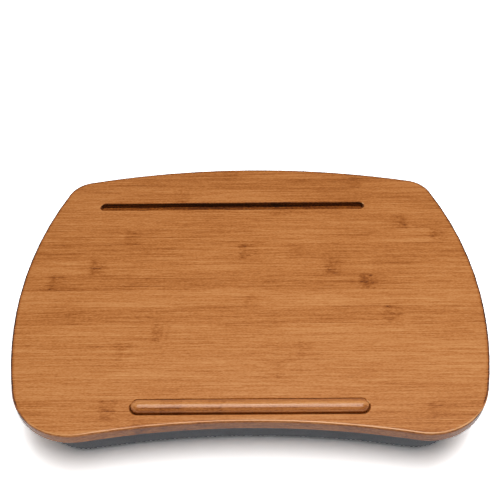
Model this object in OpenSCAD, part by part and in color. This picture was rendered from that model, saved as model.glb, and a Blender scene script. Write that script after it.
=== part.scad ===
// Bamboo lap desk on a foam cushion: a one-piece board with a tablet slot and
// a stop rail, held to the cushion by hook and loop tapes.
// Millimetres, +X to the user's right, +Y away from the user, +Z up.
// The origin is on the surface that the cushion rests on, under the middle of the board.

/* [Board] */
// Width of the board at its widest line
board_w = 430; // [400:1:520]
// Depth from the front corners to the middle of the back edge
board_d = 317; // [260:1:380]
// Thickness of the bamboo panel
board_t = 12; // [10:0.5:18]
// Distance from the front corners back to the widest line
widest_y = 143; // [115:1:165]
// Radius of the bowed sides
side_r = 377; // [340:1:600]
// Radius of the bowed back edge
back_r = 783; // [700:10:1400]
// Radius of the two back corners
back_corner_r = 28.5; // [24:0.5:45]
// Radius of the two front corners
front_corner_r = 56.5; // [48:0.5:72]
// Depth of the hollow in the front edge, where the user's body comes
front_hollow = 12.5; // [8:0.5:18]
// Radius of the rounded top edge
top_round = 2; // [1:0.5:5]
// Radius of the eased bottom edge
bottom_round = 1.5; // [0.5:0.5:3]

/* [Tablet slot] */
// Length of the slot from end to end
slot_len = 272; // [180:1:320]
// Width of the slot
slot_w = 10; // [8:0.5:16]
// Depth of the slot below the top face
slot_depth = 6; // [4:0.5:8]
// Distance of the slot's left end from the middle of the board
slot_left = 154; // [120:1:165]
// Distance of the slot's centre line from the middle of the back edge
slot_setback = 56; // [40:1:90]
// Chamfer along the slot's lips
slot_chamfer = 0.5; // [0.2:0.1:1.5]

/* [Stop rail] */
// Length of the rail from end to end
rail_len = 197; // [120:1:260]
// Width of the rail
rail_w = 12; // [9:0.5:16]
// Height of the rail above the top face
rail_h = 5; // [4.5:0.5:10]
// Rise of the rail's crowned top from its sides to its middle
rail_crown = 3.4; // [1:0.1:4.4]
// Distance of the rail behind the middle of the front edge
rail_setback = 8; // [5:0.5:15]
// Depth of the groove that the rail is glued into
groove_depth = 3; // [2.5:0.5:5]
// Chamfer along the groove's lips, seen as a shadow line round the rail
groove_chamfer = 1.8; // [0.5:0.1:2]
// Glue clearance round the rail in its groove
glue_gap = 0.1; // [0.05:0.05:0.3]

/* [Cushion] */
// Height of the cushion
cushion_h = 50; // [35:1:70]
// Distance of the cushion's seams inside the edge of the board
cushion_inset = 17; // [14:1:26]
// Radius of the cushion's back corners
cushion_back_r = 30; // [22:1:50]
// Radius of the cushion's front corners
cushion_front_r = 44; // [36:1:60]
// How far the side band swells out between its two seams
side_swell = 6; // [1:0.5:8]
// How far each side is drawn in between the corners
side_draw = 2; // [0:0.5:4]
// Height of the crown under the cushion, from its lower seam to its lowest point
base_crown = 8; // [4:0.5:12]
// Depth by which the crown is pressed flat where the desk rests
rest_flat = 0.5; // [0.5:0.1:1]
// Thickness of the cover's fabric
fabric_t = 1.2; // [0.8:0.1:2]
// Clearance between the foam and its cover
foam_gap = 0.3; // [0.2:0.1:0.5]

/* [Hook and loop tapes] */
// Length of each tape
tape_len = 90; // [50:1:110]
// Width of each tape
tape_w = 25; // [16:1:38]
// Thickness of each tape
tape_t = 1.2; // [0.8:0.1:2]
// Corner radius of each tape
tape_corner_r = 4; // [1:0.5:8]
// Distance of a tape's long edge inside the cushion's seam
tape_inset = 25; // [18:1:40]
// Distance of a tape's middle from the middle of the desk
tape_x = 95; // [80:1:105]
// Clearance between the hook face and the loop face
tape_gap = 0.2; // [0.1:0.1:0.4]

/* [Hidden] */
$fn = 48;

// Heights of the faces that pieces meet at
top_seam_z = cushion_h - fabric_t;
base_seam_z = base_crown - rest_flat + fabric_t;
board_z = cushion_h + 2 * tape_t + tape_gap;
top_z = board_z + board_t;

// Centres of the arcs of the outline, in the board's plan with y = 0 at the front corners
side_c = [board_w / 2 - side_r, widest_y];
back_c = [0, board_d - back_r];
front_corner_x = side_c[0] + sqrt(pow(side_r - front_corner_r, 2) - pow(widest_y - front_corner_r, 2));
// The front arc touches both front corners and dips by front_hollow at the middle
front_r = (pow(front_corner_x, 2) + pow(front_hollow, 2)) / (2 * front_hollow) - front_corner_r;
front_c = [0, front_hollow - front_r];

// Places on the desk: Y is measured from the middle of the board's depth
slot_y = board_d / 2 - slot_setback;
slot_x0 = -slot_left + slot_w / 2;
slot_x1 = -slot_left + slot_len - slot_w / 2;
rail_x = (rail_len - rail_w) / 2;
rail_y = front_hollow + rail_setback + rail_w / 2 - board_d / 2;
tape_front_y = front_hollow + cushion_inset + tape_inset + tape_w / 2 - board_d / 2;
tape_back_y = board_d / 2 - cushion_inset - tape_inset - tape_w / 2;

// Steps along the seven arcs of one half, in the order that plan_arcs gives them
board_steps = [10, 2, 14, 6, 6, 14, 10];
cushion_steps = [7, 1, 5, 3, 4, 6, 6];
// Angle between two points round the board's rounded top edge and its eased bottom edge
top_turn = 15;
bottom_turn = 30;
// Rings up the side band, and rings of the base as shares of its outline
band_rings = 6;
base_rings = [1, 0.96, 0.9, 0.8, 0.67, 0.53, 0.3];

cover_grey = [0.25, 0.25, 0.26];
bamboo = [0.72, 0.46, 0.27];

// Direction of a plan vector, in degrees
function heading(v) = atan2(v[1], v[0]);

// The point at distance ra from a and rb from b, to the right of both
function meet(a, ra, b, rb) =
    let (d = norm(b - a), along = (ra * ra - rb * rb + d * d) / (2 * d))
    let (across = sqrt(ra * ra - along * along), u = (b - a) / d)
    a + along * u + across * [-u[1], u[0]];

// Both parts of an arc that is split at angle a
function split(arc, a) =
    let (share = (a - arc[2]) / (arc[3] - arc[2]), phase = arc[5] + (arc[6] - arc[5]) * share)
    [
        [arc[0], arc[1], arc[2], a, arc[4], arc[5], phase],
        [arc[0], arc[1], a, arc[3], arc[4], phase, arc[6]]
    ];

// The arcs of the right half, from the middle of the front to the middle of the back: front,
// front corner, side, back corner and back, split where the outline is furthest forward and
// widest. Each is [centre, radius, first angle, last angle, bend, first phase, last phase]: bend
// is 1 where the edge bows out and -1 where it is hollow, and the phases say how it is drawn in.
function plan_arcs(inset, corner_b, corner_f) =
    let (cf = meet(side_c, side_r - inset - corner_f, front_c, front_r + inset + corner_f))
    let (cb = meet(side_c, side_r - inset - corner_b, back_c, back_r - inset - corner_b))
    let (a1 = heading(cf - front_c), a2 = heading(cf - side_c))
    let (a3 = heading(cb - side_c), a4 = heading(cb - back_c))
    [
        [front_c, front_r + inset, 90, a1, -1, 90, 180],
        each split([cf, corner_f, a1 - 180, a2, 1, 0, 0], -90),
        each split([side_c, side_r - inset, a2, a3, 1, 0, 180], 0),
        [cb, corner_b, a3, a4, 1, 0, 0],
        [back_c, back_r - inset, a4, 90, 1, 0, 90]
    ];

// Points along one arc, without its last, drawn in by draw where the phase is 90
function arc_points(arc, n, draw) = [
    for (i = [0 : n - 1])
        let (share = i / n, a = arc[2] + (arc[3] - arc[2]) * share)
        let (in = draw * sin(arc[5] + (arc[6] - arc[5]) * share))
        arc[0] + (arc[1] - arc[4] * in) * [cos(a), sin(a)]
];

// The whole outline as points, anticlockwise from the middle of the front
function plan_points(inset, corner_b, corner_f, draw, steps) =
    let (arcs = plan_arcs(inset, corner_b, corner_f))
    let (half = [for (k = [0 : len(arcs) - 1]) each arc_points(arcs[k], steps[k], draw)])
    let (back = [0, board_d - inset - draw], n = len(half))
    concat(half, [back], [for (i = [1 : n - 1]) [-half[n - i][0], half[n - i][1]]]);

// The board's outline, a set distance inside its edge
function board_points(inset) =
    plan_points(inset, back_corner_r - inset, front_corner_r - inset, 0, board_steps);

// The cushion's outline, moved out by swell and drawn in by draw between its corners
function cushion_points(swell, draw) =
    plan_points(cushion_inset - swell, cushion_back_r + swell, cushion_front_r + swell, draw, cushion_steps);

function at_height(points, z) = [for (p = points) [p[0], p[1] - board_d / 2, z]];

// Triangles between ring a and ring b of n points each, and from a ring to one point
function ring_faces(a, b, n) = [
    for (i = [0 : n - 1])
        let (j = (i + 1) % n)
        each [[a * n + i, b * n + j, a * n + j], [a * n + i, b * n + i, b * n + j]]
];
function fan_faces(ring, tip, n) = [for (i = [0 : n - 1]) [ring * n + i, tip, ring * n + (i + 1) % n]];
function turned(faces) = [for (f = faces) [f[2], f[1], f[0]]];
function flat_list(rings) = [for (ring = rings) each ring];

// Rings of the side band's face that lies depth inside its outer face, from the base up
function side_rings(depth, low, high) = [
    for (i = [0 : band_rings - 1])
        let (share = i / (band_rings - 1), swell = side_swell * sin(180 * share))
        at_height(cushion_points(swell - depth, side_draw * sin(180 * share)), low + (high - low) * share)
];

// Rings of a crowned face that lies depth above the base's, from rim inside its edge inwards.
// Its middle goes no lower than lowest, before depth is added.
function base_face(depth, rim, lowest) =
    let (edge = cushion_points(-rim, 0), mid = [0, board_d / 2])
    [
        for (share = base_rings)
            let (z = base_crown * pow(share, 4) - rest_flat)
            at_height([for (p = edge) mid + (p - mid) * share], max(z, lowest) + depth)
    ];

// Plan outline of a slot, rail or groove with round ends
module stadium(x0, x1, width) {
    translate([x0, -width / 2]) square([x1 - x0, width]);
    for (x = [x0, x1]) translate([x, 0]) circle(d = width);
}

// Section of the board's edge from its bottom face to its top face, as [inset, height]
function edge_section() = concat(
    [for (a = [0 : bottom_turn : 90]) bottom_round * [1 - sin(a), 1 - cos(a)]],
    [for (a = [0 : top_turn : 90]) [0, board_t] + top_round * [1 - cos(a), sin(a) - 1]]
);

// The panel before it is routed, lofted through its edge section
module blank() {
    rings = [for (e = edge_section()) at_height(board_points(e[0]), e[1])];
    n = len(rings[0]);
    count = len(rings);
    tips = [[0, 0, 0], [0, 0, board_t]];
    faces = concat(
        [for (k = [0 : count - 2]) each turned(ring_faces(k, k + 1, n))],
        fan_faces(0, count * n, n),
        turned(fan_faces(count - 1, count * n + 1, n))
    );
    polyhedron(concat(flat_list(rings), tips), faces);
}

// A routed pocket with round ends and chamfered lips, cut into the top of the panel
module pocket_cutter(x0, x1, y, width, depth, chamfer) {
    over = 1;
    reach = width / 2 + chamfer + over;
    translate([0, y, board_t - depth]) linear_extrude(depth + over) stadium(x0, x1, width);
    for (x = [x0, x1])
        translate([x, y, board_t - chamfer]) cylinder(h = chamfer + over, r1 = width / 2, r2 = reach);
    translate([x0, y, board_t - chamfer])
        rotate([90, 0, 90])
            linear_extrude(x1 - x0)
                polygon([[-width / 2, 0], [width / 2, 0], [reach, chamfer + over], [-reach, chamfer + over]]);
}

module desk_board() {
    color(bamboo)
        translate([0, 0, board_z])
            difference() {
                blank();
                pocket_cutter(slot_x0, slot_x1, slot_y, slot_w, slot_depth, slot_chamfer);
                pocket_cutter(-rail_x, rail_x, rail_y, rail_w + 2 * glue_gap, groove_depth, groove_chamfer);
            }
}

// Right half of the rail's section, from its middle out to its side
module rail_half_section() {
    tall = rail_h + groove_depth;
    crown_r = (pow(rail_w / 2, 2) + pow(rail_crown, 2)) / (2 * rail_crown);
    square([rail_w / 2, tall - rail_crown]);
    intersection() {
        translate([0, tall - crown_r]) circle(r = crown_r);
        square([rail_w / 2, tall]);
    }
}

module stop_rail() {
    color(bamboo * 1.08)
        translate([0, rail_y, top_z - groove_depth]) {
            rotate([90, 0, 90])
                translate([0, 0, -rail_x])
                    linear_extrude(2 * rail_x) {
                        rail_half_section();
                        mirror([1, 0]) rail_half_section();
                    }
            for (end = [0, 1])
                mirror([end, 0, 0])
                    translate([rail_x, 0, 0])
                        rotate([0, 0, -90]) rotate_extrude(angle = 180) rail_half_section();
        }
}

// The four tapes of one kind, lying on the plane z
module tapes(z) {
    for (x = [-tape_x, tape_x], y = [tape_front_y, tape_back_y])
        translate([x, y, z])
            linear_extrude(tape_t) {
                square([tape_len, tape_w - 2 * tape_corner_r], center = true);
                square([tape_len - 2 * tape_corner_r, tape_w], center = true);
                for (u = [-1, 1], v = [-1, 1])
                    translate([u * (tape_len / 2 - tape_corner_r), v * (tape_w / 2 - tape_corner_r)])
                        circle(r = tape_corner_r);
            }
}

module hook_tapes() {
    color([0.1, 0.1, 0.1]) tapes(board_z - tape_t);
}

module loop_tapes() {
    color([0.16, 0.16, 0.17]) tapes(cushion_h);
}

// Flat top panel of the cover
module cushion_top() {
    color(cover_grey)
        translate([0, -board_d / 2, top_seam_z])
            linear_extrude(fabric_t) polygon(cushion_points(0, 0));
}

// Side band of the cover, sewn between the top and base panels
module cushion_side() {
    outer = side_rings(0, base_seam_z, top_seam_z);
    inner = side_rings(fabric_t, base_seam_z, top_seam_z);
    n = len(outer[0]);
    last = band_rings - 1;
    faces = concat(
        [for (k = [0 : last - 1]) each turned(ring_faces(k, k + 1, n))],
        [for (k = [0 : last - 1]) each ring_faces(band_rings + k, band_rings + k + 1, n)],
        turned(ring_faces(last, band_rings + last, n)),
        ring_faces(0, band_rings, n)
    );
    color(cover_grey) polyhedron(flat_list(concat(outer, inner)), faces);
}

// Crowned base panel of the cover, pressed flat where the desk rests
module cushion_base() {
    lower = base_face(0, 0, -rest_flat);
    upper = base_face(fabric_t, 0, 0);
    m = len(base_rings);
    n = len(lower[0]);
    tips = [[0, 0, -rest_flat], [0, 0, fabric_t]];
    faces = concat(
        [for (k = [0 : m - 2]) each turned(ring_faces(k, k + 1, n))],
        [for (k = [0 : m - 2]) each ring_faces(m + k, m + k + 1, n)],
        turned(fan_faces(m - 1, 2 * m * n, n)),
        fan_faces(2 * m - 1, 2 * m * n + 1, n),
        ring_faces(0, m, n)
    );
    color(cover_grey)
        difference() {
            polyhedron(concat(flat_list(concat(lower, upper)), tips), faces);
            translate([-board_w / 2, -board_d / 2, -board_t]) cube([board_w, board_d, board_t]);
        }
}

// Foam block that fills the cover
module foam_core() {
    wall = fabric_t + foam_gap;
    sides = side_rings(wall, base_seam_z + foam_gap, top_seam_z - foam_gap);
    base = base_face(wall, wall, 0);
    m = len(base_rings) - 1;
    n = len(sides[0]);
    rings = concat([for (k = [m : -1 : 1]) base[k]], sides);
    count = len(rings);
    tips = [[0, 0, wall], [0, 0, top_seam_z - foam_gap]];
    faces = concat(
        [for (k = [0 : count - 2]) each turned(ring_faces(k, k + 1, n))],
        fan_faces(0, count * n, n),
        turned(fan_faces(count - 1, count * n + 1, n))
    );
    color([0.93, 0.88, 0.72]) polyhedron(concat(flat_list(rings), tips), faces);
}

desk_board();
stop_rail();
hook_tapes();
loop_tapes();
cushion_top();
cushion_side();
cushion_base();
foam_core();
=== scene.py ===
"""Looks of the bamboo lap desk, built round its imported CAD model. Metres, +Z up, +Y away from the user."""

import math

import bmesh
import bpy
import numpy as np
from mathutils import Euler, Matrix, Vector
from mathutils.bvhtree import BVHTree
from mathutils.kdtree import KDTree


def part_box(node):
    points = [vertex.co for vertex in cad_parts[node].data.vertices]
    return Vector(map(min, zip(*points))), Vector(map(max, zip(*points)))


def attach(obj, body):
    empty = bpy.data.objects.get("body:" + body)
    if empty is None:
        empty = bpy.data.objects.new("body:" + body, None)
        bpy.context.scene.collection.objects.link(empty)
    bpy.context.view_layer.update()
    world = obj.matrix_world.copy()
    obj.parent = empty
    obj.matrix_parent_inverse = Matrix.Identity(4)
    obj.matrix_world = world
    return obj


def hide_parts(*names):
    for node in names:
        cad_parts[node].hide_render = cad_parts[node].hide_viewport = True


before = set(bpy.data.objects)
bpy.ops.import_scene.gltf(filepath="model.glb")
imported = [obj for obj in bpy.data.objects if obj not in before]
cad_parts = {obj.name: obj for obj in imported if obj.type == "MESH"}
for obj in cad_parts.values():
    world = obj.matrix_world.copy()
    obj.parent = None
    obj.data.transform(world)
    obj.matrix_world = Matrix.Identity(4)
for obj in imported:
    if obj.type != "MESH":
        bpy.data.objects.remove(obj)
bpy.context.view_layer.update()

MM = 0.001

# The photograph's camera, fitted to the board's outline. The image is 500 pixels square.
EYE = (0.0055, -0.4574, 0.6230)
PITCH, YAW, ROLL = 48.21, 0.587, -0.875
FOCAL_PX, IMAGE_PX, SENSOR_MM = 765, 500, 36

# Bamboo strips run along X. Strip 0 is the first one behind this Y, and FIRST_STRIP the front one.
STRIP_W, STRIP_Y = 19.4 * MM, 11 * MM
HALF_SPAN = 0.215
FIRST_STRIP = -9
# The board's edge: side arcs through the widest place, the back arc, and the rounding between them,
# with the cosine of the angle it turns through
SIDE_R, BACK_R, CORNER_R = 377 * MM, 783 * MM, 28.5 * MM
SIDE_Y, BACK_Y = -15.5 * MM, 158.5 * MM
CORNER_COS = 0.558
SLOT_X, SLOT_Y = -18 * MM, 102.5 * MM
# Each strip's tone and its knuckles as (x in mm, strength), from the front strip to the back one
STRIPS = [
    (0.02, [(-89, 0.6)]),
    (0.02, [(-118, 0.8), (154, 0.4), (203, 0.7)]),
    (0.05, []),
    (0.06, [(22, 0.5)]),
    (0.05, [(-112, 0.5), (48, 0.4)]),
    (0.05, [(-81, 0.9)]),
    (-0.02, [(130, 0.8), (-160, 0.3)]),
    (0.06, [(0, 0.4)]),
    (-0.03, [(111, 1.0), (-184, 0.7)]),
    (0.0, [(-147, 0.9), (79, 0.8)]),
    (-0.03, [(-3, 0.8), (45, 0.3)]),
    (0.0, [(-117, 0.6), (187, 0.7)]),
    (-0.02, [(152, 0.8)]),
    (-0.02, [(29, 0.5)]),
    (-0.03, [(-70, 0.5)]),
    (-0.05, [(112, 0.5)]),
    (-0.05, [(-20, 0.4)]),
]


class Nodes:
    """A material's node tree, with short calls that add a node and return its output."""

    def __init__(self, name):
        self.material = bpy.data.materials.new(name)
        self.material.use_nodes = True
        self.tree = self.material.node_tree
        self.tree.nodes.clear()

    def add(self, kind, inputs=(), **settings):
        node = self.tree.nodes.new(kind)
        for key, value in settings.items():
            setattr(node, key, value)
        for key, value in dict(inputs).items():
            self.put(node.inputs[key], value)
        return node

    def put(self, socket, value):
        if isinstance(value, bpy.types.NodeSocket):
            self.tree.links.new(value, socket)
        else:
            socket.default_value = value

    def math(self, operation, a, b=0.0, c=0.0, clamp=False):
        node = self.add("ShaderNodeMath", operation=operation, use_clamp=clamp)
        for socket, value in zip(node.inputs, (a, b, c)):
            self.put(socket, value)
        return node.outputs[0]

    def product(self, *values):
        result = values[0]
        for value in values[1:]:
            result = self.math("MULTIPLY", result, value)
        return result

    def sum(self, *values):
        result = values[0]
        for value in values[1:]:
            result = self.math("ADD", result, value)
        return result

    def ramp_up(self, value, low, high):
        """0 below low, 1 above high, with low above high for a fall instead."""
        node = self.add("ShaderNodeMapRange", interpolation_type="SMOOTHSTEP", clamp=True)
        self.put(node.inputs["Value"], value)
        self.put(node.inputs["From Min"], low)
        self.put(node.inputs["From Max"], high)
        return node.outputs["Result"]

    def hump(self, value, width):
        """1 at value 0, falling off to both sides as a bell of that width."""
        share = self.math("DIVIDE", value, width)
        return self.math("EXPONENT", self.product(share, share, -1.0))

    def vector(self, x, y, z):
        node = self.add("ShaderNodeCombineXYZ")
        for socket, value in zip(node.inputs, (x, y, z)):
            self.put(socket, value)
        return node.outputs[0]

    def noise(self, vector, scale=1.0, detail=2.0, roughness=0.5, w=None, swing=None):
        """Noise from 0 to 1, or with swing set, from about -swing to swing."""
        node = self.add("ShaderNodeTexNoise", noise_dimensions="3D" if w is None else "4D")
        self.put(node.inputs["Vector"], vector)
        if w is not None:
            self.put(node.inputs["W"], w)
        self.put(node.inputs["Scale"], scale)
        self.put(node.inputs["Detail"], detail)
        self.put(node.inputs["Roughness"], roughness)
        if swing is None:
            return node.outputs["Fac"]
        return self.math("MULTIPLY_ADD", node.outputs["Fac"], 2 * swing, -swing)

    def random(self, w):
        return self.add("ShaderNodeTexWhiteNoise", {"W": w}, noise_dimensions="1D").outputs["Value"]

    def mix(self, share, a, b, blend="MIX"):
        node = self.add("ShaderNodeMix", data_type="RGBA", blend_type=blend)
        for socket, value in zip((node.inputs[0], node.inputs[6], node.inputs[7]), (share, a, b)):
            self.put(socket, value)
        return node.outputs[2]

    def ramp(self, value, stops, kind="LINEAR"):
        node = self.add("ShaderNodeValToRGB", {"Fac": value})
        ramp = node.color_ramp
        ramp.interpolation = kind
        ramp.elements[0].color = stops[0][1]
        ramp.elements[1].position, ramp.elements[1].color = stops[-1]
        for position, value in stops[1:-1]:
            ramp.elements.new(position).color = value
        return node.outputs["Color"]

    def finish(self, shader):
        self.add("ShaderNodeOutputMaterial", {"Surface": shader})
        return self.material


def colour(r, g, b):
    """A linear colour from an 8-bit sRGB one."""
    return (*[c / 3294.6 if c <= 10 else ((c / 255 + 0.055) / 1.055) ** 2.4 for c in (r, g, b)], 1.0)


def tinted(n, rgb, tone):
    """rgb times a tone."""
    grey = n.add("ShaderNodeCombineColor", {0: tone, 1: tone, 2: tone}).outputs[0]
    return n.mix(1.0, rgb, grey, "MULTIPLY")


# Bamboo


def strip_marks(n, strip):
    """The strip's tone, and the place and strength of each of its knuckles."""
    share = n.math("DIVIDE", n.math("ADD", strip, 0.5 - FIRST_STRIP), len(STRIPS))
    marks = []
    for k in range(max(len(knuckles) for _, knuckles in STRIPS)):
        stops = []
        for i, (tone, knuckles) in enumerate(STRIPS):
            x, strength = knuckles[k] if k < len(knuckles) else (0, 0.0)
            stops.append((i / len(STRIPS), (0.5 + x * MM / HALF_SPAN / 2, strength, 0.5 + tone, 1.0)))
        at, strength, tone = n.add("ShaderNodeSeparateColor", {"Color": n.ramp(share, stops, "CONSTANT")}).outputs
        marks.append((n.math("MULTIPLY_ADD", at, 2 * HALF_SPAN, -HALF_SPAN), strength))
        if k == 0:
            strip_tone = n.math("SUBTRACT", tone, 0.5)
    return strip_tone, marks


def bamboo(name, seed=0.0, light=0.0, marks=None, marks_and_painted_light=None):
    """Laminated bamboo under a satin lacquer. Without its own marks it has the board's strips."""
    n = Nodes(name)
    place = n.add("ShaderNodeTexCoord")
    x, y, z = n.add("ShaderNodeSeparateXYZ", {"Vector": place.outputs["Object"]}).outputs
    facing = n.add("ShaderNodeSeparateXYZ", {"Vector": place.outputs["Normal"]}).outputs

    strip_y = n.math("DIVIDE", n.math("SUBTRACT", y, STRIP_Y), STRIP_W)
    strip = n.math("FLOOR", strip_y)
    luck = n.random(n.math("ADD", strip, seed + 0.37))
    seam = 0.0
    if marks is None:
        tone, marks = strip_marks(n, strip)
        centred = n.math("ABSOLUTE", n.math("SUBTRACT", n.math("FRACT", strip_y), 0.5))
        seam = n.ramp_up(centred, 0.478, 0.497)
    else:
        tone = 0.0

    def grain(along, across, detail, roughness, number, swing, at_y=y):
        spot = n.vector(
            n.math("MULTIPLY_ADD", x, along, n.product(luck, 7.0)),
            n.product(at_y, across), n.product(z, across),
        )
        return n.noise(spot, detail=detail, roughness=roughness, w=seed + number, swing=swing)

    # Knuckles: a soft dark patch, mottled light and dark, with darker fibres running out of it
    wave = grain(90.0, 230.0, 1.0, 0.5, 0, 1.0)
    wobble = n.product(wave, 0.0022)
    side = n.math("MULTIPLY_ADD", n.math("GREATER_THAN", luck, 0.5), 2.0, -1.0)
    core, patch, flare = 0.0, 0.0, 0.0
    for at, strength in marks:
        away = n.math("MULTIPLY_ADD", n.math("SUBTRACT", x, at), side, wobble)
        core = n.math("MAXIMUM", core, n.product(n.hump(n.math("ADD", away, 0.003), 0.0035), strength))
        spread = n.product(n.ramp_up(away, -0.0095, -0.0045), n.ramp_up(away, 0.0125, 0.003), strength)
        patch = n.math("MAXIMUM", patch, spread)
        flare = n.math("MAXIMUM", flare, n.product(n.hump(away, 0.02), strength))

    fibre_y = n.math("ADD", y, n.product(wave, patch, 0.0012))
    long = grain(12.0, 1050.0, 2.0, 0.5, 1, 0.25, fibre_y)
    short = grain(60.0, 1600.0, 2.0, 0.6, 2, 0.25, fibre_y)
    speck = grain(420.0, 1600.0, 1.0, 0.5, 8, 0.22)
    broad = grain(9.0, 230.0, 2.0, 0.5, 3, 0.14, fibre_y)
    cloud = n.noise(n.vector(n.product(x, 9.0), n.product(strip, 3.3), 0.0), w=seed + 4, detail=1.0, swing=0.10)
    mottle = n.product(grain(240.0, 380.0, 2.0, 0.6, 5, 0.3), patch)
    streak = n.product(n.ramp_up(grain(30.0, 600.0, 1.0, 0.5, 6, 0.5), -0.02, 0.14), flare)

    level = n.sum(0.5 + light, tone, long, short, speck, broad, cloud, mottle)
    for share, dark in ((core, 0.05), (patch, 0.075), (streak, 0.05), (seam, 0.05)):
        level = n.math("SUBTRACT", level, n.product(share, dark))

    eased = n.ramp_up(facing[2], 0.995, 0.93)

    # End grain on the faces that look along the fibres
    end = n.ramp_up(n.math("ABSOLUTE", facing[0]), 0.5, 0.95)
    dots = n.noise(n.vector(n.product(x, 40.0), n.product(y, 1300.0), n.product(z, 1300.0)), w=seed + 7)
    level = n.math("SUBTRACT", level, n.product(end, n.math("MULTIPLY_ADD", dots, 0.3, -0.03)))
    if marks_and_painted_light is not None:
        level = marks_and_painted_light(n, level, x, y, z, facing)

    base = n.ramp(level, [
        (0.0, colour(30, 12, 3)),
        (0.15, colour(98, 45, 9)),
        (0.3, colour(153, 83, 22)),
        (0.5, colour(192, 120, 59)),
        (0.75, colour(215, 150, 90)),
        (1.0, colour(230, 173, 117)),
    ])
    height = n.sum(n.product(long, 0.6), n.product(short, 0.5), n.product(seam, -0.6), n.product(mottle, 0.4))
    bump = n.add("ShaderNodeBump", {"Strength": 0.1, "Distance": 0.0002, "Height": height})
    away_from_front = n.product(eased, n.ramp_up(facing[1], -0.5, 0.1))
    shine = n.sum(n.math("MULTIPLY_ADD", short, 0.1, 0.2), n.product(away_from_front, 0.35))
    shader = n.add(
        "ShaderNodeBsdfPrincipled",
        {
            "Base Color": base, "Roughness": shine, "Specular IOR Level": 0.4, "Normal": bump.outputs[0],
            "Coat Weight": 0.25, "Coat Roughness": 0.5,
        },
    )
    return n.finish(shader.outputs[0])


def edge_gap(n, x, y):
    """Distance in plan from the board's side and back edges."""
    side_x = n.math("ADD", n.math("ABSOLUTE", x), SIDE_R - HALF_SPAN)
    side_y = n.math("SUBTRACT", y, SIDE_Y)
    side = n.math("SUBTRACT", SIDE_R, n.math("SQRT", n.sum(n.product(side_x, side_x), n.product(side_y, side_y))))
    back_y = n.math("ADD", y, BACK_R - BACK_Y)
    back = n.math("SUBTRACT", BACK_R, n.math("SQRT", n.sum(n.product(x, x), n.product(back_y, back_y))))
    near_side = n.math("MAXIMUM", n.math("SUBTRACT", CORNER_R, side), 0.0)
    near_back = n.math("MAXIMUM", n.math("SUBTRACT", CORNER_R, back), 0.0)
    near_side, near_back = (
        n.math("MAXIMUM", near_side, n.product(near_back, CORNER_COS)),
        n.math("MAXIMUM", near_back, n.product(near_side, CORNER_COS)),
    )
    squares = n.sum(n.product(near_side, near_side), n.product(near_back, near_back))
    squares = n.math("SUBTRACT", squares, n.product(near_side, near_back, 2 * CORNER_COS))
    reach = n.math("SQRT", n.math("DIVIDE", squares, 1 - CORNER_COS**2))
    return n.math("SUBTRACT", CORNER_R, reach)


def board_marks_and_painted_light(n, level, x, y, z, facing):
    """Painted shade along the side and back edges, at the front corners and on the front face, a painted highlight
    along the front edge, the inside of the slot drawn darker, and a dark joint round the rail.
    """
    sideways = n.math("ABSOLUTE", facing[0])
    # Painted shade: the side and back edges, and the rounding at the sides, are drawn darker where they face sideways
    # or away from the front.
    eased = n.product(n.ramp_up(facing[2], 0.985, 0.9), n.ramp_up(n.math("ABSOLUTE", x), 0.155, 0.165))
    rim = n.math("MAXIMUM", n.ramp_up(edge_gap(n, x, y), 0.0042, 0.0026), eased)
    upward = n.math("MULTIPLY_ADD", n.ramp_up(facing[2], 0.1, 0.5), 0.9, 0.1)
    behind = n.product(n.ramp_up(n.math("MULTIPLY_ADD", sideways, 1.2, facing[1]), -0.05, 0.1), upward)
    level = n.math("SUBTRACT", level, n.product(rim, behind, 0.4))
    # Painted shade on the vertical faces at the front corners.
    corner = n.product(n.ramp_up(sideways, 0.3, 0.6), n.ramp_up(facing[1], -0.1, -0.3))
    level = n.math("SUBTRACT", level, n.product(corner, n.ramp_up(facing[2], 0.4, 0.1), 0.04))
    # Painted highlight: a lighter line along the front edge's rounding, stronger towards the right.
    painted_edge_highlight = n.product(n.ramp_up(facing[1], -0.15, -0.32), n.ramp_up(facing[1], -0.62, -0.45))
    painted_highlight_strength = n.math("MULTIPLY_ADD", n.ramp_up(x, -0.05, 0.13), 0.4, 0.24)
    level = n.math("ADD", level, n.product(painted_edge_highlight, painted_highlight_strength))
    # Painted shade on the faces that look to the front.
    level = n.math("SUBTRACT", level, n.product(n.ramp_up(facing[1], -0.5, -0.7), 0.15))

    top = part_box("desk_board")[1].z
    depth = n.math("SUBTRACT", top, z)
    above_floor = n.ramp_up(depth, 0.008, 0.007)
    deep = n.product(n.ramp_up(depth, 0.0002, 0.0009), above_floor)
    # The inside of the slot is drawn darker.
    across = n.math("ABSOLUTE", n.math("SUBTRACT", y, SLOT_Y))
    along = n.math("ABSOLUTE", n.math("SUBTRACT", x, SLOT_X))
    in_slot = n.product(n.ramp_up(across, 0.0075, 0.0062), n.ramp_up(along, 0.15, 0.14), deep)
    wall = n.ramp_up(n.math("ABSOLUTE", facing[2]), 0.75, 0.35)
    level = n.math("SUBTRACT", level, n.product(in_slot, n.math("MULTIPLY_ADD", wall, -0.04, 0.27)))

    rail_low, rail_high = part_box("stop_rail")
    radius = (rail_high.y - rail_low.y) / 2
    past_end = n.math("MAXIMUM", n.math("SUBTRACT", n.math("ABSOLUTE", x), rail_high.x - radius), 0.0)
    aside = n.math("SUBTRACT", y, (rail_low.y + rail_high.y) / 2)
    span = n.math("SQRT", n.sum(n.product(past_end, past_end), n.product(aside, aside)))
    groove = n.product(n.ramp_up(span, radius + 0.0021, radius + 0.0012), above_floor)
    return n.math("SUBTRACT", level, n.product(groove, 0.26))


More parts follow.
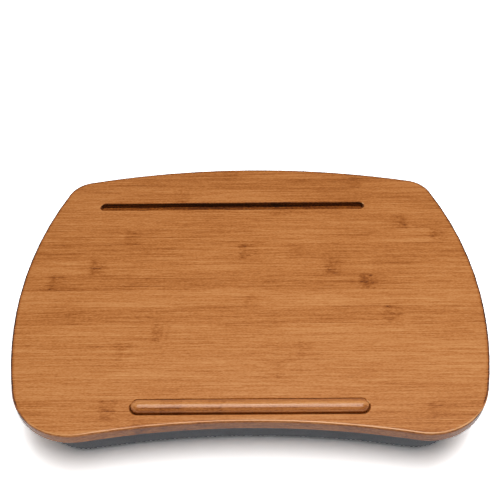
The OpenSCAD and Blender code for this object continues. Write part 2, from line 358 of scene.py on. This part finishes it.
def rail_tone_and_painted_light(n, level, x, y, z, facing):
    """Painted shade along the bottom of the rail and on its front and back slopes, a painted highlight along its top,
    and one darker length of bamboo.
    """
    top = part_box("desk_board")[1].z
    # Painted shade along the bottom of the rail.
    painted_foot_shade = n.ramp_up(n.math("SUBTRACT", z, top), 0.0014, -0.0002)
    block = n.product(n.ramp_up(x, -0.0745, -0.0735), n.ramp_up(x, -0.0555, -0.0565))
    # Painted shade on the front and back slopes.
    front, back = n.ramp_up(facing[1], -0.15, -0.5), n.ramp_up(facing[1], 0.1, 0.4)
    # Painted highlight along the top of the rail.
    painted_crown_highlight = n.ramp_up(n.math("ABSOLUTE", facing[1]), 0.3, 0.1)
    for share, dark in ((painted_foot_shade, 0.16), (block, 0.07), (front, 0.1), (back, 0.07), (painted_crown_highlight, -0.14)):
        level = n.math("SUBTRACT", level, n.product(share, dark))
    return level


# Cloth, tapes and foam


def fabric(name, rgb, pitch=0.0009):
    """Plain-woven cover cloth. Its yarns follow the weave attribute, in metres along the cloth."""
    n = Nodes(name)
    weave_at = n.add("ShaderNodeAttribute", attribute_name="weave")
    u, v, _ = n.add("ShaderNodeSeparateXYZ", {"Vector": weave_at.outputs["Vector"]}).outputs
    turn = math.pi / pitch
    warp = n.math("SINE", n.product(u, turn))
    weft = n.math("SINE", n.product(v, turn))
    over = n.ramp_up(n.product(warp, weft), -0.25, 0.25)
    warp_yarn = n.math("ABSOLUTE", warp)
    weft_yarn = n.math("ABSOLUTE", weft)
    yarn = n.sum(n.product(warp_yarn, over), n.product(weft_yarn, n.math("SUBTRACT", 1.0, over)))
    slub_u = n.noise(n.vector(n.product(u, 70.0), n.product(v, 1100.0), 0.0), detail=2.0, swing=0.32)
    slub_v = n.noise(n.vector(n.product(u, 1100.0), n.product(v, 70.0), 3.0), detail=2.0, swing=0.32)
    slub = n.add("ShaderNodeMix", {0: over, 2: slub_u, 3: slub_v}, data_type="FLOAT").outputs[0]
    fuzz = n.noise(n.vector(n.product(u, 2600.0), n.product(v, 2600.0), 5.0), detail=2.0, swing=0.25)
    mottle = n.noise(n.vector(n.product(u, 22.0), n.product(v, 22.0), 7.0), detail=3.0, swing=0.14)
    heather = n.product(n.math("SUBTRACT", over, 0.5), 0.22)
    tone = n.sum(n.math("MULTIPLY_ADD", yarn, 0.5, 0.62), slub, fuzz, mottle, heather)
    bump = n.add(
        "ShaderNodeBump",
        {"Strength": 0.6, "Distance": 0.00035, "Height": n.sum(yarn, n.product(slub, 0.5), n.product(fuzz, 0.4))},
    )
    shader = n.add(
        "ShaderNodeBsdfPrincipled",
        {
            "Base Color": tinted(n, rgb, tone), "Roughness": 0.92, "Specular IOR Level": 0.2,
            "Sheen Weight": 0.45, "Sheen Roughness": 0.4, "Normal": bump.outputs[0],
        },
    )
    return n.finish(shader.outputs[0])


def thread(name, rgb):
    """Twisted sewing thread."""
    n = Nodes(name)
    x, y, z = n.add("ShaderNodeSeparateXYZ", {"Vector": n.add("ShaderNodeTexCoord").outputs["Object"]}).outputs
    twist = n.math("SINE", n.product(n.sum(x, y, z), 9000.0))
    fuzz = n.noise(n.vector(n.product(x, 3000.0), n.product(y, 3000.0), n.product(z, 3000.0)), swing=0.2)
    bump = n.add("ShaderNodeBump", {"Strength": 0.5, "Distance": 0.0001, "Height": twist})
    shader = n.add(
        "ShaderNodeBsdfPrincipled",
        {
            "Base Color": tinted(n, rgb, n.sum(n.math("MULTIPLY_ADD", twist, 0.12, 0.95), fuzz)),
            "Roughness": 0.6, "Normal": bump.outputs[0],
        },
    )
    return n.finish(shader.outputs[0])


def tape(name, rgb, loops):
    """Hook or loop tape: rows of nylon hooks, or a nap of loops."""
    n = Nodes(name)
    spot = n.add("ShaderNodeTexCoord").outputs["Object"]
    x, y, z = n.add("ShaderNodeSeparateXYZ", {"Vector": spot}).outputs
    fuzz = n.noise(spot, scale=600.0 if loops else 900.0, detail=3.0, roughness=0.65, swing=0.5)
    if loops:
        cells = n.add("ShaderNodeTexVoronoi", {"Vector": spot, "Scale": 650.0}).outputs["Distance"]
        nap = n.sum(cells, fuzz)
    else:
        rows = n.math("MULTIPLY_ADD", n.math("SINE", n.product(y, math.tau / 0.0016)), 0.5, 0.5)
        dots = n.math("MULTIPLY_ADD", n.math("SINE", n.product(x, math.tau / 0.0011)), 0.5, 0.5)
        nap = n.sum(n.product(rows, dots), n.product(fuzz, 0.4))
    tone = n.math("MULTIPLY_ADD", nap, 0.55, 0.7)
    bump = n.add("ShaderNodeBump", {"Strength": 0.8, "Distance": 0.0005, "Height": nap})
    shader = n.add(
        "ShaderNodeBsdfPrincipled",
        {
            "Base Color": tinted(n, rgb, tone), "Roughness": 0.9 if loops else 0.5,
            "Specular IOR Level": 0.3, "Normal": bump.outputs[0],
        },
    )
    return n.finish(shader.outputs[0])


def foam(name):
    """Open-cell foam."""
    n = Nodes(name)
    spot = n.add("ShaderNodeTexCoord").outputs["Object"]
    cells = n.add("ShaderNodeTexVoronoi", {"Vector": spot, "Scale": 900.0}).outputs["Distance"]
    spots = n.noise(spot, scale=40.0, detail=3.0, swing=0.06)
    tone = n.sum(n.math("MULTIPLY_ADD", cells, 0.3, 0.8), spots)
    bump = n.add("ShaderNodeBump", {"Strength": 0.6, "Distance": 0.0004, "Height": cells})
    shader = n.add(
        "ShaderNodeBsdfPrincipled",
        {"Base Color": tinted(n, colour(236, 222, 186), tone), "Roughness": 0.95, "Normal": bump.outputs[0]},
    )
    return n.finish(shader.outputs[0])


def paint(node, material):
    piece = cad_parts[node]
    piece.data.materials.clear()
    piece.data.materials.append(material)
    return piece


def soften(piece, angle=35):
    """Smooth shading across a CAD node's small facets, while its large flat faces stay flat."""
    mesh = piece.data
    mesh.shade_smooth()
    loops, faces = len(mesh.loops), len(mesh.polygons)
    co = np.zeros(len(mesh.vertices) * 3)
    corner = np.zeros(loops, np.int64)
    normal, area, middle = np.zeros(faces * 3), np.zeros(faces), np.zeros(faces * 3)
    mesh.vertices.foreach_get("co", co)
    mesh.loops.foreach_get("vertex_index", corner)
    mesh.polygons.foreach_get("normal", normal)
    mesh.polygons.foreach_get("area", area)
    mesh.polygons.foreach_get("center", middle)
    normal, middle = normal.reshape(-1, 3), middle.reshape(-1, 3)
    spots = np.unique(np.round(co.reshape(-1, 3), 6), axis=0, return_inverse=True)[1].ravel()
    planes = np.column_stack([np.round(normal, 3), np.round((normal * middle).sum(1), 5)])
    plane = np.unique(planes, axis=0, return_inverse=True)[1].ravel()
    weight = np.bincount(plane, area)[plane]
    owner = np.zeros(loops, np.int64)
    around = {}
    for face in mesh.polygons:
        for i in face.loop_indices:
            owner[i] = face.index
            around.setdefault(spots[corner[i]], []).append(face.index)
    limit = math.cos(math.radians(angle))
    normals = []
    for i in range(loops):
        near = np.unique(around[spots[corner[i]]])
        near = near[normal[near] @ normal[owner[i]] > limit]
        shown = (normal[near] * weight[near, None]).sum(0)
        normals.append(shown / np.linalg.norm(shown))
    mesh.normals_split_custom_set(normals)


# Cushion


class Outline:
    """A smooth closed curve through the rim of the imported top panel, anticlockwise."""

    def __init__(self, count=4096):
        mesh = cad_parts["cushion_top"].data
        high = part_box("cushion_top")[1].z
        rim = {(round(v.co.x, 5), round(v.co.y, 5)) for v in mesh.vertices if v.co.z > high - 0.0001}
        knots = np.array(sorted(rim, key=lambda p: math.atan2(p[1], p[0])))
        t = np.arange(count) * len(knots) / count
        i, f = np.floor(t).astype(int), (t % 1)[:, None]
        a, b, c, d = (knots[(i + k) % len(knots)] for k in (-1, 0, 1, 2))
        line = 0.5 * (2 * b + (c - a) * f + (2 * a - 5 * b + 4 * c - d) * f**2 + (3 * b - a - 3 * c + d) * f**3)
        step = np.linalg.norm(np.roll(line, -1, 0) - line, axis=1)
        self.line = np.vstack([line, line[:1]])
        self.s = np.concatenate([[0], np.cumsum(step)])
        self.length = self.s[-1]

    def at(self, s):
        s = np.asarray(s) % self.length
        return np.stack([np.interp(s, self.s, self.line[:, k]) for k in (0, 1)], -1)

    def out(self, s):
        """Unit vectors that point out of the cushion."""
        along = self.at(np.asarray(s) + 0.001) - self.at(np.asarray(s) - 0.001)
        along /= np.linalg.norm(along, axis=-1, keepdims=True)
        return np.stack([along[..., 1], -along[..., 0]], -1)

    def facing(self, degrees):
        """Where the curve faces that way."""
        way = np.array([math.cos(math.radians(degrees)), math.sin(math.radians(degrees))])
        return self.s[np.argmax(self.out(self.s[:-1]) @ way)]

    def share(self, x, y):
        """Distance from the middle, as a share of the distance to the curve that way."""
        turn = np.arctan2(self.line[:-1, 1], self.line[:-1, 0])
        order = np.argsort(turn)
        reach = np.linalg.norm(self.line[:-1], axis=1)[order]
        return np.hypot(x, y) / np.interp(np.arctan2(y, x), turn[order], reach, period=math.tau)


def patch_grid(outline, nx, ny):
    """Plan points of an (ny + 1) x (nx + 1) grid that fills the outline, and the arc length round its rim."""
    corners = [outline.facing(a) for a in (-130, -50, 50, 130)]
    spans = [(b - a) % outline.length for a, b in zip(corners, corners[1:] + corners[:1])]
    sides = [c + span * np.linspace(0, 1, n + 1) for c, span, n in zip(corners, spans, (nx, ny, nx, ny))]
    front, right, back, left = (outline.at(s) for s in sides)
    back, left = back[::-1], left[::-1]
    u, v = np.linspace(0, 1, nx + 1)[None, :, None], np.linspace(0, 1, ny + 1)[:, None, None]
    grid = (1 - v) * front[None] + v * back[None] + (1 - u) * left[:, None] + u * right[:, None]
    grid -= (1 - v) * ((1 - u) * front[0] + u * front[-1]) + v * ((1 - u) * back[0] + u * back[-1])
    rim_s = np.concatenate([s[:-1] for s in sides])
    number = np.arange((nx + 1) * (ny + 1)).reshape(ny + 1, nx + 1)
    rim = np.concatenate([number[0, :-1], number[:-1, -1], number[-1, :0:-1], number[:0:-1, 0]])
    return grid.reshape(-1, 2), number, rim, rim_s


TOP, SIDE, BASE = 0, 1, 2


def pillow(outline, nx=76, ny=54, rows=8):
    """The cover as one closed mesh of quads before it is filled, its three panels told apart by material index."""
    plan, number, rim, rim_s = patch_grid(outline, nx, ny)
    seam_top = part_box("cushion_top")[1].z - 0.0008
    share = np.minimum(outline.share(plan[:, 0], plan[:, 1]), 1)
    low = np.maximum(0.008 * share**4 - 0.0005, 0)
    low[rim] = 0.0081
    count = len(plan)
    points = [np.column_stack([plan, np.full(count, seam_top)]), np.column_stack([plan, low])]
    rings = [rim + count]
    for i in range(1, rows):
        height = 0.0081 + (seam_top - 0.0081) * i / rows
        ring = outline.at(rim_s) + outline.out(rim_s) * 0.004 * math.sin(math.pi * i / rows)
        rings.append(np.arange(len(rim)) + sum(map(len, points)))
        points.append(np.column_stack([ring, np.full(len(rim), height)]))
    rings.append(rim)
    points = np.vstack(points)
    faces, kinds = [], []
    for j in range(ny):
        for i in range(nx):
            quad = [number[j, i], number[j, i + 1], number[j + 1, i + 1], number[j + 1, i]]
            faces += [quad, [q + count for q in quad[::-1]]]
            kinds += [TOP, BASE]
    n = len(rim)
    for lower, upper in zip(rings, rings[1:]):
        for i in range(n):
            j = (i + 1) % n
            faces.append([lower[i], lower[j], upper[j], upper[i]])
            kinds.append(SIDE)
    mesh = bpy.data.meshes.new("pillow")
    mesh.from_pydata(points.tolist(), [], [[int(q) for q in f] for f in faces])
    for _ in range(3):
        mesh.materials.append(None)
    mesh.polygons.foreach_set("material_index", kinds)
    seams = np.concatenate([rings[0], rings[-1]])
    return mesh, seams


def points_of(mesh):
    co = np.zeros(len(mesh.vertices) * 3)
    mesh.vertices.foreach_get("co", co)
    return co.reshape(-1, 3)


def normals_of(mesh):
    out = np.zeros(len(mesh.vertices) * 3)
    mesh.vertex_normals.foreach_get("vector", out)
    return out.reshape(-1, 3)


def set_points(mesh, points):
    mesh.vertices.foreach_set("co", np.ascontiguousarray(points, np.float32).ravel())
    mesh.update()


def new_object(name, mesh):
    piece = bpy.data.objects.new(name, mesh)
    bpy.context.scene.collection.objects.link(piece)
    return piece


def inflate(mesh, held, limit):
    """Fills the cover: cloth pressure with its seams held, no point moving further than about limit."""
    before = points_of(mesh)
    scene = bpy.context.scene
    piece = new_object("filling", mesh)
    group = piece.vertex_groups.new(name="held")
    group.add([int(i) for i in held], 1.0, "REPLACE")
    cloth = piece.modifiers.new("cloth", "CLOTH")
    cloth.settings.quality = 6
    cloth.settings.mass = 0.3
    cloth.settings.tension_stiffness = 12
    cloth.settings.compression_stiffness = 12
    cloth.settings.bending_stiffness = 0.6
    cloth.settings.use_pressure = True
    cloth.settings.uniform_pressure_force = 4
    cloth.settings.vertex_group_mass = "held"
    cloth.settings.effector_weights.gravity = 0
    cloth.collision_settings.use_collision = False
    cloth.point_cache.frame_start, cloth.point_cache.frame_end = 1, 20
    for number in range(1, 21):
        scene.frame_set(number)
    seen = piece.evaluated_get(bpy.context.evaluated_depsgraph_get())
    after = points_of(seen.data)
    scene.frame_set(1)
    bpy.data.objects.remove(piece)
    move = after - before
    size = np.linalg.norm(move, axis=1, keepdims=True) + 1e-9
    set_points(mesh, before + move / size * limit * np.tanh(size / limit))


def smooth_once(mesh, seams):
    """Subdivides the mesh once, with its seams kept as creases."""
    piece = new_object("smoothing", mesh)
    held = set(int(i) for i in seams)
    crease = mesh.attributes.new("crease_edge", "FLOAT", "EDGE")
    crease.data.foreach_set("value", [0.8 if set(e.vertices) <= held else 0.0 for e in mesh.edges])
    piece.modifiers.new("subdivision", "SUBSURF").levels = 1
    seen = piece.evaluated_get(bpy.context.evaluated_depsgraph_get())
    smooth = bpy.data.meshes.new_from_object(seen)
    bpy.data.objects.remove(piece)
    return smooth


def tape_boxes():
    """Plan boxes of the four loop tapes."""
    co = points_of(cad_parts["loop_tapes"].data)
    boxes = []
    for left in (True, False):
        for front in (True, False):
            mine = co[(co[:, 0] < 0) == left]
            mine = mine[(mine[:, 1] < 0) == front]
            boxes.append((mine[:, :2].min(0), mine[:, :2].max(0)))
    return boxes


def press(points, board_low):
    """Keeps the filled cover off the board and the tapes, and flat where it rests."""
    gap = np.full(len(points), 1.0)
    for low, high in tape_boxes():
        past = np.maximum(np.maximum(low - points[:, :2], points[:, :2] - high), 0)
        gap = np.minimum(gap, np.hypot(past[:, 0], past[:, 1]))
    tape_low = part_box("loop_tapes")[0].z
    roof = np.minimum(board_low - 0.0009, tape_low - 0.0001 + 0.25 * np.maximum(gap - 0.002, 0))
    points[:, 2] = np.clip(points[:, 2], 0.0, roof)
    return points


def seam_marks(outline, points, normals, seam_top, seam_low):
    """Draws both seams in as grooves and puckers the cloth beside them."""
    loops = [(seam_top, 0.3), (seam_low, 1.7)]
    tree = KDTree(2 * 1500)
    marks = []
    for height, phase in loops:
        for s in np.linspace(0, outline.length, 1500, endpoint=False):
            x, y = outline.at(s)
            marks.append((s, phase))
            tree.insert((x, y, height), len(marks) - 1)
    tree.balance()
    found = [tree.find(p) for p in points]
    away = np.array([f[2] for f in found])
    s = np.array([marks[f[1]][0] for f in found])
    phase = np.array([marks[f[1]][1] for f in found])
    turns = round(outline.length / 0.0125)
    angle = math.tau * s / outline.length
    pucker = np.sin(turns * angle + 2.2 * np.sin(17 * angle + phase) + 1.4 * np.sin(31 * angle + 2 * phase))
    strength = 0.6 + 0.4 * np.sin(9 * angle + 4 * phase) * np.sin(5 * angle)
    shift = 0.0004 * pucker * strength * np.exp(-((away - 0.005) / 0.006) ** 2)
    shift -= 0.0011 * np.exp(-((away / 0.0019) ** 2))
    return points + normals * shift[:, None]


def drape(outline, points, normals, seam_top, seam_low):
    """Slack in the side band: long soft folds, deepest halfway between the seams."""
    turn = np.arctan2(points[:, 1], points[:, 0])
    height = np.clip((points[:, 2] - seam_low) / (seam_top - seam_low), 0, 1)
    side = np.sin(math.pi * height) * (np.abs(normals[:, 2]) < 0.8)
    fold = 0.5 * np.sin(23 * turn + 1.3 * np.sin(5 * turn) + 2 * height) + 0.3 * np.sin(41 * turn - 3 * height)
    return points + normals * (0.0006 * fold * side)[:, None]


def panel(name, mesh, kind, outline, node, material):
    """One panel of the cover, cut from the closed mesh at its seams."""
    cut = bmesh.new()
    cut.from_mesh(mesh)
    bmesh.ops.delete(cut, geom=[f for f in cut.faces if f.material_index != kind], context="FACES")
    for face in cut.faces:
        face.material_index = 0
        face.smooth = True
    own = bpy.data.meshes.new(name)
    cut.to_mesh(own)
    cut.free()
    own.materials.clear()
    own.materials.append(material)
    co = points_of(own)
    corner = np.zeros(len(own.loops), np.int64)
    own.loops.foreach_get("vertex_index", corner)
    if kind == SIDE:
        tree = KDTree(4096)
        for i, s in enumerate(outline.s[:-1]):
            tree.insert((*outline.line[i], 0), i)
        tree.balance()
        s = np.array([outline.s[tree.find((p[0], p[1], 0))[1]] for p in co])
        cloth = np.column_stack([s, co[:, 2], np.zeros(len(co))])[corner]
        for face in own.polygons:
            mine = list(face.loop_indices)
            if cloth[mine, 0].max() - cloth[mine, 0].min() > outline.length / 2:
                late = [i for i in mine if cloth[i, 0] < outline.length / 2]
                cloth[late, 0] += outline.length
    else:
        cloth = co[corner] * (1, 1, 0)
    weave = own.attributes.new("weave", "FLOAT_VECTOR", "CORNER")
    weave.data.foreach_set("vector", cloth.astype(np.float32).ravel())
    piece = new_object(name, own)
    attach(piece, "cushion")
    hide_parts(node)
    return piece


def stitches(outline, side_piece, rows, material):
    """Rows of topstitching on the side band, each stitch a short thread lying on the cloth."""
    mesh = side_piece.data
    tree = BVHTree.FromPolygons([v.co for v in mesh.vertices], [list(p.vertices) for p in mesh.polygons])
    build = bmesh.new()
    pitch, length, radius = 0.0042, 0.0032, 0.00038
    count = round(outline.length / pitch)
    for height in rows:
        for k in range(count):
            s = outline.length * k / count
            x, y = outline.at(s)
            spot, normal, _, _ = tree.find_nearest((x, y, height))
            out = outline.out(s)
            along = Vector((-out[1], out[0], 0))
            along = (along - normal * along.dot(normal)).normalized()
            across = normal.cross(along)
            rings = []
            for share, size, lift in ((-1, 0.35, -0.6), (-0.7, 0.9, 0.1), (0, 1.1, 0.5), (0.7, 0.9, 0.1), (1, 0.35, -0.6)):
                middle = spot + along * (share * length / 2) + normal * (lift * radius)
                ring = []
                for m in range(6):
                    a = math.tau * m / 6
                    ring.append(build.verts.new(middle + (normal * math.sin(a) + across * math.cos(a)) * radius * size))
                rings.append(ring)
            for a, b in zip(rings, rings[1:]):
                for m in range(6):
                    build.faces.new((a[m], a[(m + 1) % 6], b[(m + 1) % 6], b[m]))
            build.faces.new(rings[0][::-1])
            build.faces.new(rings[-1])
    bmesh.ops.recalc_face_normals(build, faces=build.faces)
    own = bpy.data.meshes.new("cover_stitches")
    build.to_mesh(own)
    build.free()
    own.shade_smooth()
    own.materials.append(material)
    piece = new_object("cover_stitches", own)
    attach(piece, "cushion")


def cushion():
    outline = Outline()
    board_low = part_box("desk_board")[0].z
    closed, seams = pillow(outline)
    inflate(closed, seams, limit=0.0045)
    set_points(closed, press(points_of(closed), board_low))

    core = closed.copy()
    core.name = "foam_block"
    inner = points_of(core) - normals_of(core) * 0.0026
    set_points(core, inner)

    smooth = smooth_once(closed, seams)
    seam_top, seam_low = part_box("cushion_top")[1].z - 0.0008, 0.0081
    points = drape(outline, points_of(smooth), normals_of(smooth), seam_top, seam_low)
    set_points(smooth, points)
    points = seam_marks(outline, points, normals_of(smooth), seam_top, seam_low)
    set_points(smooth, press(points, board_low))

    cloth = fabric("cover_cloth", colour(117, 120, 126))
    panel("cover_top", smooth, TOP, outline, "cushion_top", cloth)
    side = panel("cover_side", smooth, SIDE, outline, "cushion_side", cloth)
    panel("cover_base", smooth, BASE, outline, "cushion_base", cloth)
    stitches(outline, side, (seam_top - 0.0036, seam_low + 0.0022), thread("cover_thread", colour(98, 100, 104)))

    core.materials.clear()
    core.materials.append(foam("foam_cells"))
    core.polygons.foreach_set("material_index", [0] * len(core.polygons))
    core.shade_smooth()
    block = new_object("foam_block", core)
    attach(block, "cushion")
    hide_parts("foam_core")


# Scene


def camera():
    data = bpy.data.cameras.new("camera")
    data.sensor_width = SENSOR_MM
    data.lens = FOCAL_PX / IMAGE_PX * SENSOR_MM
    data.clip_start = 0.01
    eye = new_object("camera", data)
    tilt = Euler((math.radians(90 - PITCH), 0, math.radians(YAW))).to_matrix()
    eye.matrix_world = Matrix.LocRotScale(
        Vector(EYE), tilt @ Matrix.Rotation(math.radians(ROLL), 3, "Z"), None
    )
    bpy.context.scene.camera = eye


def area_light(name, place, size, power):
    """A rectangular lamp that points straight down."""
    data = bpy.data.lights.new(name, "AREA")
    data.shape = "RECTANGLE"
    data.size, data.size_y = size
    data.energy = power
    new_object(name, data).location = place


def lights():
    """A dim room with a white sweep low down all round, a softbox overhead and a strip behind it."""
    world = bpy.data.worlds.new("studio")
    bpy.context.scene.world = world
    world.use_nodes = True
    tree = world.node_tree
    tree.nodes.clear()

    def add(kind, **settings):
        node = tree.nodes.new(kind)
        for key, value in settings.items():
            setattr(node, key, value)
        return node

    def background(strength):
        node = add("ShaderNodeBackground")
        node.inputs["Color"].default_value = (1, 1, 1, 1)
        node.inputs["Strength"].default_value = strength
        return node.outputs[0]

    def mixed(share, a, b):
        node = add("ShaderNodeMixShader")
        for socket, value in zip(node.inputs, (share, a, b)):
            tree.links.new(value, socket)
        return node.outputs[0]

    ray = add("ShaderNodeLightPath")
    way = add("ShaderNodeSeparateXYZ")
    tree.links.new(add("ShaderNodeTexCoord").outputs["Generated"], way.inputs[0])
    low = add("ShaderNodeMapRange", interpolation_type="SMOOTHSTEP")
    tree.links.new(way.outputs["Z"], low.inputs["Value"])
    low.inputs["From Min"].default_value = 0.6
    low.inputs["From Max"].default_value = 0.3
    room, sweep = background(0.15), background(1.0)
    seen = add("ShaderNodeMath", operation="MAXIMUM")
    tree.links.new(ray.outputs["Is Glossy Ray"], seen.inputs[0])
    tree.links.new(ray.outputs["Is Transmission Ray"], seen.inputs[1])
    shiny = mixed(low.outputs[0], room, sweep)
    out = add("ShaderNodeOutputWorld")
    tree.links.new(mixed(ray.outputs["Is Camera Ray"], mixed(seen.outputs[0], room, shiny), sweep), out.inputs[0])
    area_light("softbox", (0.05, -0.2, 1.6), (0.95, 1.15), 17.6)
    area_light("strip", (0.4, 0.24, 1.6), (1.4, 0.16), 6.5)


def floor():
    """White paper that keeps the shadow, and fades into the white sweep further out."""
    bpy.ops.mesh.primitive_plane_add(size=8)
    plane = bpy.context.object
    plane.name = "floor"
    n = Nodes("floor")
    ray = n.add("ShaderNodeLightPath")
    mirrored = n.math("MAXIMUM", ray.outputs["Is Glossy Ray"], ray.outputs["Is Transmission Ray"])
    seen = ray.outputs["Is Camera Ray"]
    white = n.sum(0.8, n.product(mirrored, 0.15), n.product(seen, 1.6))
    paper = n.add("ShaderNodeBsdfDiffuse", {"Color": n.vector(white, white, white)})
    x, y, _ = n.add("ShaderNodeSeparateXYZ", {"Vector": n.add("ShaderNodeTexCoord").outputs["Object"]}).outputs
    distance = n.math("SQRT", n.sum(n.product(x, x), n.product(y, y)))
    far = n.product(n.ramp_up(distance, 0.45, 0.9), n.math("MAXIMUM", seen, mirrored))
    bright = n.add("ShaderNodeEmission", {"Color": (1, 1, 1, 1)})
    mixed = n.add("ShaderNodeMixShader", {0: far, 1: paper.outputs[0], 2: bright.outputs[0]})
    plane.data.materials.append(n.finish(mixed.outputs[0]))


bpy.context.scene.view_settings.view_transform = "Standard"
camera()
lights()
floor()
soften(paint("desk_board", bamboo("bamboo_board", marks_and_painted_light=board_marks_and_painted_light)))
rail_marks = [(-0.028, 0.5), (0.089, 0.4)]
soften(paint("stop_rail", bamboo("bamboo_rail", seed=11.0, light=0.03, marks=rail_marks, marks_and_painted_light=rail_tone_and_painted_light)))
paint("hook_tapes", tape("hook_nylon", colour(34, 34, 36), loops=False))
paint("loop_tapes", tape("loop_nylon", colour(58, 58, 61), loops=True))
cushion()
